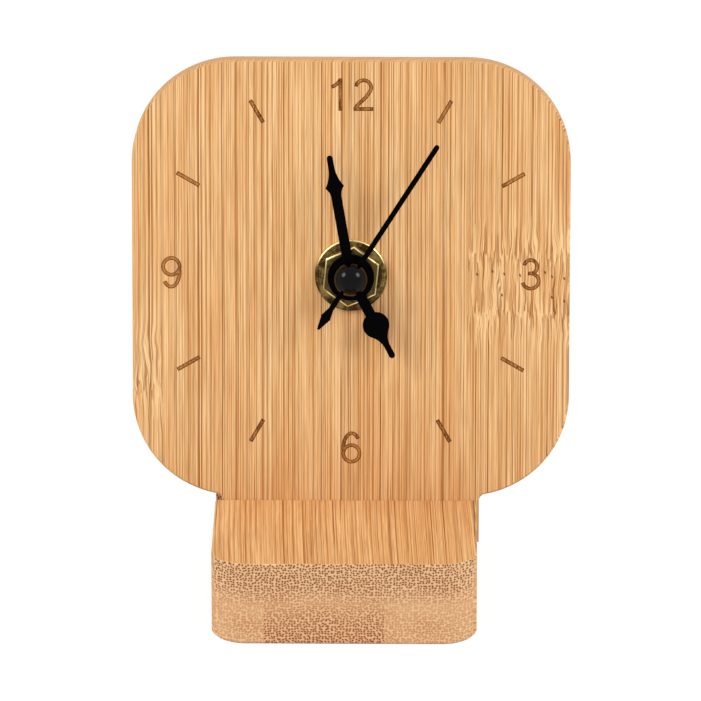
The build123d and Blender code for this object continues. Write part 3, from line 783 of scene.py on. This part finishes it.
@dataclass
class Workshop:
    """Makes finished pieces and attaches them to their bodies.

    Attributes:
        nodes: The frame's CAD objects by name.
        finishes: The materials by slot.
        weld: Distance in metres under which two corners become one.
        flat_angle: Degrees under which two faces become one.
        smooth_angle: Degrees under which an edge is shaded smooth.
        bevel_angle: Degrees over which an edge is eased.
    """

    nodes: dict[str, bpy.types.Object]
    finishes: dict[Slot, bpy.types.Material]
    weld: float = 2e-6
    flat_angle: float = 0.4
    smooth_angle: float = 32.0
    bevel_angle: float = 28.0

    def clean_copy(self, node: str) -> bpy.types.Mesh:
        """Copies a CAD node's mesh with its loose triangles merged and flat faces joined."""
        mesh = self.nodes[node].data.copy()
        mesh.materials.clear()
        work = bmesh.new()
        work.from_mesh(mesh)
        bmesh.ops.remove_doubles(work, verts=work.verts, dist=self.weld)
        limit = math.radians(self.flat_angle)
        bmesh.ops.dissolve_limit(work, angle_limit=limit, verts=work.verts, edges=work.edges)
        bmesh.ops.recalc_face_normals(work, faces=work.faces)
        return write_mesh(work, mesh)

    def bake(self, piece: bpy.types.Object, name: str) -> bpy.types.Object:
        """Turns an object and its modifiers into a plain piece of the given name."""
        graph = bpy.context.evaluated_depsgraph_get()
        mesh = bpy.data.meshes.new_from_object(piece.evaluated_get(graph))
        mesh.name = name
        bpy.data.objects.remove(piece)
        return add_object(name, mesh)

    def bar(self, line: Path, width: float, relief: Relief) -> bpy.types.Object:
        """Sweeps a flat bar along a line.

        Args:
            line: The stroke's middle line, whose ends meet in a closed stroke.
            width: The stroke's width.
            relief: How the bar lies in the stroke.

        Returns:
            The bar.
        """
        width -= 2 * relief.inset
        points = [Vector(p) for p in line]
        closed = (points[0] - points[-1]).length < width * 0.01
        if closed:
            points.pop()
        else:
            points[0] += (points[1] - points[0]).normalized() * relief.inset
            points[-1] += (points[-2] - points[-1]).normalized() * relief.inset
        count = len(points)
        work = bmesh.new()
        rings = []
        for i, point in enumerate(points):
            before = points[i - 1] if closed or i else point
            after = points[(i + 1) % count] if closed or i < count - 1 else point
            ahead = after - before
            side = Vector((-ahead.y, ahead.x)).normalized() * (width / 2)
            left, right = point + side, point - side
            low, high = relief.low, relief.high
            corners = ((left, low), (right, low), (right, high), (left, high))
            rings.append([work.verts.new((at.x, at.y, height)) for at, height in corners])
        for i in range(count if closed else count - 1):
            ring, following = rings[i], rings[(i + 1) % count]
            for a in range(4):
                b = (a + 1) % 4
                work.faces.new((ring[a], ring[b], following[b], following[a]))
        if not closed:
            work.faces.new(rings[0][::-1])
            work.faces.new(rings[-1])
        bmesh.ops.recalc_face_normals(work, faces=work.faces)
        mesh = write_mesh(work, bpy.data.meshes.new("bar"))
        mesh.materials.append(relief.finish)
        return add_object("bar", mesh)

    def join(
        self, piece: bpy.types.Object, others: list[bpy.types.Object], finish: bpy.types.Material
    ) -> None:
        """Adds the meshes of other objects to a piece and clears the objects away.

        Args:
            piece: The piece that takes them.
            others: The objects.
            finish: The material that they all wear.
        """
        work = bmesh.new()
        work.from_mesh(piece.data)
        piece.data.materials.append(finish)
        for other in others:
            count = len(work.faces)
            work.from_mesh(other.data)
            work.faces.ensure_lookup_table()
            for face in work.faces[count:]:
                face.material_index = len(piece.data.materials) - 1
            bpy.data.objects.remove(other)
        write_mesh(work, piece.data)

    def soften(self, piece: bpy.types.Object, edge: float, segments: int = 3) -> None:
        """Adds the rounding of a piece's edges.

        Args:
            piece: The object.
            edge: Width of the rounding in millimetres, or 0 for none.
            segments: Steps in each rounding.
        """
        if edge:
            bevel = piece.modifiers.new("eased edges", "BEVEL")
            bevel.width = edge * MM
            bevel.segments = segments
            bevel.limit_method = "ANGLE"
            bevel.angle_limit = math.radians(self.bevel_angle)
        weighted = piece.modifiers.new("even shading", "WEIGHTED_NORMAL")
        weighted.keep_sharp = True
        weighted.weight = 100

    def shade(self, mesh: bpy.types.Mesh, angle: float) -> None:
        """Shades a mesh smooth, apart from edges sharper than an angle in degrees."""
        mesh.shade_smooth()
        mesh.set_sharp_from_angle(angle=math.radians(angle))

    def hand_over(self, piece: bpy.types.Object, body: str, slot: Slot, *nodes: str) -> None:
        """Attaches a finished piece to the body that carries it and hides the CAD nodes that it
        replaces.

        Args:
            piece: The finished piece.
            body: The body that carries it.
            slot: Its finish in the record; not used.
            nodes: The CAD nodes that it replaces.
        """
        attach(piece, body)
        if nodes:
            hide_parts(*nodes)
        LOG.info("%s: %d faces on %s", piece.name, len(piece.data.polygons), body)

    def refine(self, node: str, body: str, slot: Slot, edge: float, segments: int) -> None:
        """Replaces a CAD node by a copy with eased edges and smooth shading.

        Args:
            node: The node's name.
            body: The body that carries it.
            slot: Its finish.
            edge: Width of the eased edges in millimetres.
            segments: Steps in each edge.
        """
        mesh = self.clean_copy(node)
        self.shade(mesh, self.smooth_angle)
        rough = add_object(node + "_work", mesh)
        self.soften(rough, edge, segments)
        piece = self.bake(rough, node + "_finished")
        piece.data.materials.clear()
        piece.data.materials.append(self.finishes[slot])
        self.hand_over(piece, body, slot, node)


@dataclass
class HourMarks:
    """The eight short marks between the numbers, set on a ring by Geometry Nodes.

    Attributes:
        hours: Places on the ring.
        quarter: Every which place holds a number instead.
        radius: Radius of the ring through the marks' middles.
        length: Length of a mark.
        width: Width of a mark.
        centre: The ring's centre in the dial's plane.
    """

    hours: int = 12
    quarter: int = 3
    radius: float = 42.8
    length: float = 5.9
    width: float = 0.92
    centre: Pair = (-0.1, 0.66)

    def tree(self) -> tuple[bpy.types.NodeTree, dict[str, str]]:
        """Builds the node tree that sets boxes on the ring, and lists its inputs' identifiers."""
        tree = bpy.data.node_groups.new("hour marks", "GeometryNodeTree")
        face = tree.interface
        face.new_socket(name="Geometry", in_out="OUTPUT", socket_type="NodeSocketGeometry")
        kinds = {
            "Hours": "Int",
            "Radius": "Float",
            "Length": "Float",
            "Width": "Float",
            "Height": "Float",
            "Centre": "Vector",
            "Finish": "Material",
        }
        names = {}
        for name, kind in kinds.items():
            made = face.new_socket(name=name, in_out="INPUT", socket_type="NodeSocket" + kind)
            names[name] = made.identifier
        given = tree.nodes.new("NodeGroupInput").outputs

        def add(kind: str, settings: dict[str, Any], inputs: dict[Any, Any]) -> Any:
            """Adds a node and gives its first output."""
            return wire(tree, kind, settings, inputs).outputs[0]

        circle = {"Vertices": given["Hours"], "Radius": given["Radius"]}
        ring = add("GeometryNodeMeshCircle", {}, circle)
        index = add("GeometryNodeInputIndex", {}, {})
        third = add("FunctionNodeIntegerMath", {"operation": "MODULO"}, {0: index, 1: self.quarter})
        equal = {"data_type": "INT", "operation": "EQUAL"}
        numbered = add("FunctionNodeCompare", equal, {"A": third})
        chosen = {"Geometry": ring, "Selection": numbered}
        bare = add("GeometryNodeDeleteGeometry", {"domain": "POINT"}, chosen)
        sides = dict(enumerate(given[name] for name in ("Length", "Width", "Height")))
        box = add("GeometryNodeMeshCube", {}, {"Size": add("ShaderNodeCombineXYZ", {}, sides)})
        outward = {"Vector": add("GeometryNodeInputPosition", {}, {})}
        aim = add("FunctionNodeAlignRotationToVector", {"axis": "X"}, outward)
        copied = {"Points": bare, "Instance": box, "Rotation": aim}
        copies = add("GeometryNodeInstanceOnPoints", {}, copied)
        real = add("GeometryNodeRealizeInstances", {}, {0: copies})
        place = {"Geometry": real, "Translation": given["Centre"]}
        moved = add("GeometryNodeTransform", {}, place)
        worn = {"Geometry": moved, "Material": given["Finish"]}
        finished = add("GeometryNodeSetMaterial", {}, worn)
        tree.links.new(finished, tree.nodes.new("NodeGroupOutput").inputs[0])
        return tree, names

    def boxes(self, shop: Workshop, relief: Relief) -> bpy.types.Object:
        """Makes a box for each mark.

        Args:
            shop: The workshop.
            relief: How the boxes lie in the marks.

        Returns:
            The boxes, in the dial's millimetres.
        """
        tree, names = self.tree()
        made = add_object("hour_marks_work", bpy.data.meshes.new("hour_marks_work"))
        marks = made.modifiers.new("hour marks", "NODES")
        marks.node_group = tree
        values = {
            "Hours": self.hours,
            "Radius": self.radius,
            "Length": self.length - 2 * relief.inset,
            "Width": self.width - 2 * relief.inset,
            "Height": relief.high - relief.low,
            "Centre": (*self.centre, (relief.high + relief.low) / 2),
            "Finish": relief.finish,
        }
        for name, value in values.items():
            marks[names[name]] = value
        baked = shop.bake(made, "hour_marks_boxes")
        baked.data.materials.clear()
        baked.data.materials.append(relief.finish)
        return baked


@dataclass
class Numbers:
    """The numbers 12, 3, 6 and 9, drawn with strokes of one width.

    Attributes:
        height: Height of a number.
        stroke: Width of its strokes.
        step: How much lower each stroke of a digit lies than the one before.
        advance: Step from one digit to the next, as a share of the height.
        arc_step: Degrees from one point of an arc to the next.
        curve_steps: Steps in a curve.
        places: The middle of each number in the dial's plane.
    """

    height: float = 7.42
    stroke: float = 0.86
    step: float = 0.004
    advance: float = 0.822
    arc_step: float = 9.0
    curve_steps: int = 8
    places: dict[Numeral, Pair] = field(
        default_factory=lambda: {
            Numeral.TWELVE: (-0.28, 41.65),
            Numeral.THREE: (41.1, 0.25),
            Numeral.SIX: (0.12, -40.35),
            Numeral.NINE: (-41.0, 0.40),
        }
    )

    def arc(self, centre: Pair, radii: Pair, start: float, end: float) -> Path:
        """Samples part of an upright ellipse, from one angle in degrees to another."""
        steps = max(6, round(abs(end - start) / self.arc_step))
        angles = [math.radians(start + (end - start) * i / steps) for i in range(steps + 1)]
        return [around(centre, radii, angle) for angle in angles]

    def curve(self, first: Pair, pull: Pair, last: Pair) -> Path:
        """Samples a curve from one point to another, drawn towards a third."""
        ends = (first, pull, last)
        made = []
        for i in range(self.curve_steps + 1):
            t = i / self.curve_steps
            shares = ((1 - t) ** 2, 2 * t * (1 - t), t * t)
            made.append(tuple(sum(s * at[k] for s, at in zip(shares, ends)) for k in (0, 1)))
        return made

    def digit(self, figure: str) -> list[Path]:
        """Gives the middle lines of a digit's strokes, for a height of 1 and x from its middle."""
        if figure == "1":
            flag = self.curve((-0.155, 0.735), (0.02, 0.80), (0.11, 0.955))
            return [[(0.115, 0.0), (0.115, 1.0)], flag]
        if figure == "2":
            bowl = self.arc((0.0, 0.72), (0.235, 0.225), 172, -32)
            tail = self.curve(bowl[-1], (0.09, 0.42), (-0.09, 0.26))
            foot = self.curve((-0.09, 0.26), (-0.215, 0.16), (-0.255, 0.055))
            return [bowl + tail[1:] + foot[1:], [(-0.305, 0.055), (0.300, 0.055)]]
        if figure == "3":
            top = self.arc((-0.01, 0.735), (0.20, 0.212), 168, -72)
            low = self.arc((-0.01, 0.288), (0.248, 0.238), 76, -168)
            return [top, low, [(-0.09, 0.525), (0.06, 0.525)]]
        if figure == "6":
            back = self.arc((0.015, 0.47), (0.262, 0.478), 40, 187)
            return [back, self.arc((0.005, 0.31), (0.252, 0.262), 180, -180)]
        return [[(-x, 1 - y) for x, y in stroke] for stroke in self.digit("6")]

    def bars(self, shop: Workshop, relief: Relief) -> list[bpy.types.Object]:
        """Makes a bar for each stroke of the numbers.

        Args:
            shop: The workshop.
            relief: How the bars lie in the strokes.

        Returns:
            The bars, in the dial's millimetres.
        """
        made = []
        for numeral, (x, y) in self.places.items():
            figures = str(numeral.value)
            start = -(len(figures) - 1) / 2
            for place, figure in enumerate(figures):
                shift = x + (start + place) * self.advance * self.height
                for order, stroke in enumerate(self.digit(figure)):
                    line = [
                        (shift + across * self.height, y + (up - 0.5) * self.height)
                        for across, up in stroke
                    ]
                    made.append(shop.bar(line, self.stroke, relief.lowered(order * self.step)))
        return made


@dataclass
class CaseSigns:
    """The raised plus and minus beside the battery, and the arrows round the setting knob.

    Attributes:
        axes: The dial's axes.
        knob: The knob's place in the dial's plane.
        surface: Height of the case's back.
        relief: How far the signs stand out of it.
        width: Width of their lines.
        step: How much lower each line's top lies than that of the one before.
        plus: The plus's place in the dial's plane.
        minus: The minus's place.
        size: Half the length of their lines, and the length of an arrow's barbs.
        ring: Radius of the arrows round the knob.
        starts: Degrees at which the two arrows start.
        sweep: Degrees from one point of an arrow to the next.
        steps: Steps in an arrow.
        barbs: How far an arrow's barbs turn from the radius, in degrees.
    """

    axes: DialAxes
    knob: Pair = (-18.0, 0.0)
    surface: float = -23.0
    relief: float = 0.2
    width: float = 0.6
    step: float = 0.004
    plus: Pair = (21.5, -8.0)
    minus: Pair = (-21.0, -8.0)
    size: float = 1.5
    ring: float = 7.0
    starts: Pair = (-20, 160)
    sweep: float = 5
    steps: int = 8
    barbs: Pair = (-125, -55)

    def lines(self) -> list[Path]:
        """Draws the middle lines of the signs in the dial's plane."""
        (px, py), (mx, my), size = self.plus, self.minus, self.size
        drawn = [
            [(px - size, py), (px + size, py)],
            [(px, py - size), (px, py + size)],
            [(mx - size, my), (mx + size, my)],
        ]
        for start in self.starts:
            angles = [math.radians(start + self.sweep * i) for i in range(self.steps + 1)]
            arc = [around(self.knob, (self.ring, self.ring), angle) for angle in angles]
            tips = [angles[-1] + math.radians(turn) for turn in self.barbs]
            left, right = (around(arc[-1], (size, size), angle) for angle in tips)
            drawn += [arc, [left, arc[-1], right]]
        return drawn

    def build(self, shop: Workshop) -> None:
        """Lays the signs on the back of the case."""
        finish = shop.finishes[Slot.CASE]
        low, high = self.surface - self.relief, self.surface + self.relief
        bars = [
            shop.bar(line, self.width, Relief(0.0, low + order * self.step, high, finish))
            for order, line in enumerate(self.lines())
        ]
        signs = bars[0]
        signs.name = signs.data.name = "case_signs"
        shop.join(signs, bars[1:], finish)
        signs.data.transform(self.axes.matrix())
        shop.hand_over(signs, "panel", Slot.CASE)


@dataclass
class DialPanel:
    """The bamboo dial with its burnt marks.

    Attributes:
        axes: The dial's axes.
        marks: The hour marks.
        numbers: The numbers.
        depth: Depth of a mark.
        floor: Depth of its paler floor.
        rim: Width of its dark rim.
        sharp: Degrees from which an edge of the panel stays sharp.
    """

    axes: DialAxes
    marks: HourMarks = field(default_factory=HourMarks)
    numbers: Numbers = field(default_factory=Numbers)
    depth: float = 0.18
    floor: float = 0.13
    rim: float = 0.17
    sharp: float = 24.0

    def build(self, shop: Workshop) -> None:
        """Cuts the marks into the panel and lays their floors."""
        char = BurntMark("burnt rim", tone(122, 66, 24), tone(76, 34, 6)).material()
        singed = BurntMark("burnt floor", tone(196, 130, 68), tone(90, 44, 12)).material()
        mesh = shop.clean_copy("dial_panel")
        mesh.transform(self.axes.matrix().inverted())
        mesh.materials.append(shop.finishes[Slot.PANEL])
        panel = add_object("dial_panel_work", mesh)
        cutters = self._strokes(shop, Relief(0.0, -self.depth, 1.0, char))
        for cutter in cutters:
            cut = panel.modifiers.new("burnt mark", "BOOLEAN")
            cut.operation = "DIFFERENCE"
            cut.solver = "EXACT"
            cut.material_mode = "TRANSFER"
            cut.object = cutter
        panel = shop.bake(panel, "dial_panel_work")
        filled = Relief(self.rim, -self.depth - self.floor, -self.floor, singed)
        shop.join(panel, self._strokes(shop, filled), singed)
        for cutter in cutters:
            bpy.data.objects.remove(cutter)
        panel.data.transform(self.axes.matrix())
        shop.shade(panel.data, self.sharp)
        shop.soften(panel, 0.0)
        panel = shop.bake(panel, "dial_panel_finished")
        shop.hand_over(panel, "panel", Slot.PANEL, "dial_panel")

    def _strokes(self, shop: Workshop, relief: Relief) -> list[bpy.types.Object]:
        """Makes the boxes of the hour marks and the bars of the numbers."""
        return [self.marks.boxes(shop, relief), *self.numbers.bars(shop, relief)]


@dataclass
class Assembly:
    """Pieces that keep the shape of their solids and get eased edges.

    Attributes:
        pieces: Each piece's node, body, slot and width of its eased edges in millimetres.
        segments: Steps in each eased edge.
    """

    pieces: tuple[tuple[str, str, Slot, float], ...]
    segments: int = 3

    def build(self, shop: Workshop) -> None:
        """Dresses the pieces."""
        for node, body, slot, edge in self.pieces:
            shop.refine(node, body, slot, edge, self.segments)


@dataclass
class BaseBlock(Assembly):
    """The bamboo block that holds the panel in its slot, whose solid has its own edges."""

    pieces: tuple[tuple[str, str, Slot, float], ...] = (("base_block", "base", Slot.BASE, 0.0),)


@dataclass
class Hub(Assembly):
    """The brass hardware and the cap in the middle of the dial."""

    pieces: tuple[tuple[str, str, Slot, float], ...] = (
        ("dial_washer", "panel", Slot.BRASS, 0.08),
        ("hex_nut", "panel", Slot.BRASS, 0.12),
        ("threaded_bush", "panel", Slot.BRASS, 0.08),
        ("hub_cap", "seconds", Slot.GLOSS, 0.10),
    )


@dataclass
class Hands(Assembly):
    """The three hands, cut from thin sheet."""

    pieces: tuple[tuple[str, str, Slot, float], ...] = (
        ("hour_hand", "hours", Slot.HAND, 0.07),
        ("minute_hand", "minutes", Slot.HAND, 0.07),
        ("second_hand", "seconds", Slot.HAND, 0.07),
    )
    segments: int = 2


@dataclass
class Movement(Assembly):
    """The pieces of the quartz movement that can be seen from behind."""

    pieces: tuple[tuple[str, str, Slot, float], ...] = (
        ("movement_tray", "panel", Slot.CASE, 0.18),
        ("rear_cover", "panel", Slot.CASE, 0.18),
        ("setting_knob", "setting", Slot.CASE, 0.15),
        ("gasket", "panel", Slot.RUBBER, 0.15),
        ("battery_cell", "battery", Slot.SLEEVE, 0.20),
    )


@dataclass
class Studio:
    """The pale floor, the soft lamps and the white surroundings.

    Attributes:
        fill: Strength of the surroundings' light.
        glow: Strength at which the floor looks white.
        glow_share: Its share beside the lit floor, which keeps the clock's shadow.
        lamps: Azimuth and elevation in degrees, power and size of each lamp.
        lamp_distance: Distance of the lamps from the clock.
        floor_half: Half the floor's width in metres.
        aim: The point that the lamps look at.
    """

    fill: float = 0.52
    glow: float = 1.05
    glow_share: float = 0.88
    lamps: tuple[tuple[float, float, float, float], ...] = (
        (-66.0, 38.0, 4.12, 0.40),
        (66.0, 38.0, 4.12, 0.40),
    )
    lamp_distance: float = 0.9
    floor_half: float = 6.0
    aim: Vector = field(default_factory=lambda: Vector((0, 0, 0.06)))

    def build(self) -> None:
        """Builds the studio."""
        self._surroundings()
        self._floor()
        for azimuth, elevation, power, size in self.lamps:
            lamp = bpy.data.lights.new("soft lamp", "AREA")
            lamp.shape = "DISK"
            lamp.size = size
            lamp.energy = power
            aimed("soft lamp", lamp, self.aim, azimuth, elevation, self.lamp_distance)

    def _surroundings(self) -> None:
        """Makes a world that lights softly and looks white."""
        world = bpy.data.worlds.new("studio")
        bpy.context.scene.world = world
        canvas = Canvas(world)
        light = canvas.shown() * (1 - self.fill) + self.fill
        sky = canvas.node("Background", {}, {"Color": (1, 1, 1, 1), "Strength": light})
        canvas.node("OutputWorld", {}, {"Surface": sky}, None)

    def _floor(self) -> None:
        """Makes a wide pale floor that the camera sees as almost white."""
        work = bmesh.new()
        bmesh.ops.create_grid(work, x_segments=1, y_segments=1, size=self.floor_half)
        mesh = write_mesh(work, bpy.data.meshes.new("floor"))
        paint = Paint("pale floor")
        paint.set(Base_Color=(0.9, 0.9, 0.9, 1), Roughness=0.8, Specular_IOR_Level=0.1)
        glow = paint.node("Emission", {}, {"Color": (1, 1, 1, 1), "Strength": self.glow})
        own = Flow(paint, paint.shader.outputs["BSDF"])
        share = paint.shown() * self.glow_share
        paint.finish(paint.node("MixShader", {}, {0: share, 1: own, 2: glow}))
        mesh.materials.append(paint.material)
        add_object("floor", mesh)


@dataclass
class PhotoCamera:
    """A long lens at the photograph's angle.

    Attributes:
        azimuth: Degrees to the right of the base's front.
        elevation: Degrees above level.
        distance: Distance from the point it looks at, in metres.
        focal_pixels: Focal length in pixels of the photograph's frame.
        frame_pixels: Width of that frame.
        clip_end: How far the camera sees, in metres.
        aim: The point in the middle of the frame.
    """

    azimuth: float = 0.58
    elevation: float = 20.40
    distance: float = 1.5
    focal_pixels: float = 6596.6
    frame_pixels: float = 701.0
    clip_end: float = 20.0
    aim: Vector = field(default_factory=lambda: Vector((0.00116, 0.005, 0.05777)))

    def build(self) -> None:
        """Makes the camera and gives it to the scene."""
        data = bpy.data.cameras.new("photo camera")
        data.sensor_fit = "HORIZONTAL"
        data.lens = self.focal_pixels * data.sensor_width / self.frame_pixels
        data.clip_end = self.clip_end
        bpy.context.scene.camera = aimed(
            "photo camera", data, self.aim, self.azimuth, self.elevation, self.distance
        )


@dataclass
class Wardrobe:
    """Makes one material for each slot of the record.

    Attributes:
        axes: The dial's axes.
        cell: The battery's two ends along X, in millimetres.
    """

    axes: DialAxes
    cell: tuple[float, float]

    def panel(self) -> Bamboo:
        """Describes the dial's wood, with the culm joints beside the 3 and at the left edge."""
        holes = (
            (28.8, 0.2), (32.3, 0.9), (35.0, 0.3), (38.6, 0.0), (44.3, 0.7),
            (45.9, -0.3), (48.7, -0.7), (34.5, -4.6), (45.9, -5.1), (48.7, -6.0),
        )
        return Bamboo(
            "panel bamboo",
            origin=self.axes.centre,
            turn=self.axes.turn,
            along=1,
            first_joint=-42.9,
            strip_width=23.2,
            joints=(
                CulmJoint(26.6, 60.0, -2.0, 17.0, (4.3, -8.9), holes),
                CulmJoint(-60.0, -42.9, -24.0, 15.0, (-26.5,)),
            ),
            end_grain=EndGrain(
                dots=tone(160, 100, 50),
                wood=tone(206, 156, 102),
                warm=tone(202, 150, 98),
                web=tone(216, 166, 112),
                top=-6.0,
                joint=1.0,
                cover=0.55,
            ),
        )

    def base(self) -> Bamboo:
        """Describes the base's wood, whose front and back are sawn ends."""
        return Bamboo(
            "base bamboo",
            origin=(0.0, 0.0, 0.0),
            turn=0.0,
            along=1,
            first_joint=-18.1,
            strip_width=27.2,
            sway=0.4,
            skew=0.03,
            pale=tone(244, 198, 141),
            warm=tone(231, 177, 118),
        )

    def finishes(self) -> dict[Slot, bpy.types.Material]:
        """Builds the material of every slot."""
        made = {
            Slot.PANEL: self.panel(),
            Slot.BASE: self.base(),
            Slot.BRASS: AgedBrass(self.axes.centre, self.axes.turn),
            Slot.HAND: PlainFinish("satin black paint", tone(3, 3, 4), 0, 0.45, 0.015, 0.12, 5e-6),
            Slot.GLOSS: PlainFinish("polished black", tone(1, 1, 2), 0, 0.12, 0.13),
            Slot.CASE: PlainFinish("moulded black", tone(34, 34, 36), 0, 0.48, 0.4, 0.25, 2e-5),
            Slot.ACETAL: PlainFinish("natural acetal", tone(232, 230, 224), 0, 0.42),
            Slot.RUBBER: PlainFinish("black rubber", tone(30, 30, 30), 0, 0.75, 0.3),
            Slot.STEEL: PlainFinish("plated sheet", tone(198, 198, 196), 1.0, 0.28),
            Slot.COPPER: WoundWire(),
            Slot.BOARD: PlainFinish("board", tone(40, 104, 62), 0, 0.4),
            Slot.SLEEVE: CellSleeve(self.cell),
        }
        return {slot: finish.material() for slot, finish in made.items()}

    def dress(self, frame: dict[str, Any], finishes: dict[Slot, bpy.types.Material]) -> None:
        """Gives every CAD node of the loaded frame the finish of its slot."""
        for part in frame["record"]["subparts"]:
            materials = frame["nodes"][part["node"]].data.materials
            wanted = finishes[Slot(part["material_slot"])]
            if len(materials):
                materials[0] = wanted
            else:
                materials.append(wanted)


def main() -> None:
    """Builds the dressed clock and its studio."""
    logging.basicConfig(level=logging.INFO, format="%(message)s")
    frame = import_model()
    dial = DialAxes.from_record(frame["record"])
    near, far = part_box("battery_cell")
    minus_end, plus_end = CELL_BARE_ENDS
    wardrobe = Wardrobe(dial, (near[0] / MM + minus_end, far[0] / MM - plus_end))
    finishes = wardrobe.finishes()
    wardrobe.dress(frame, finishes)
    shop = Workshop(frame["nodes"], finishes)
    for assembly in (DialPanel(dial), BaseBlock(), Hub(), Hands(), Movement(), CaseSigns(dial)):
        assembly.build(shop)
        LOG.info("built %s", type(assembly).__name__)
    Studio().build()
    PhotoCamera().build()
    bpy.context.scene.view_settings.view_transform = "Standard"


if __name__ == "__main__":
    main()
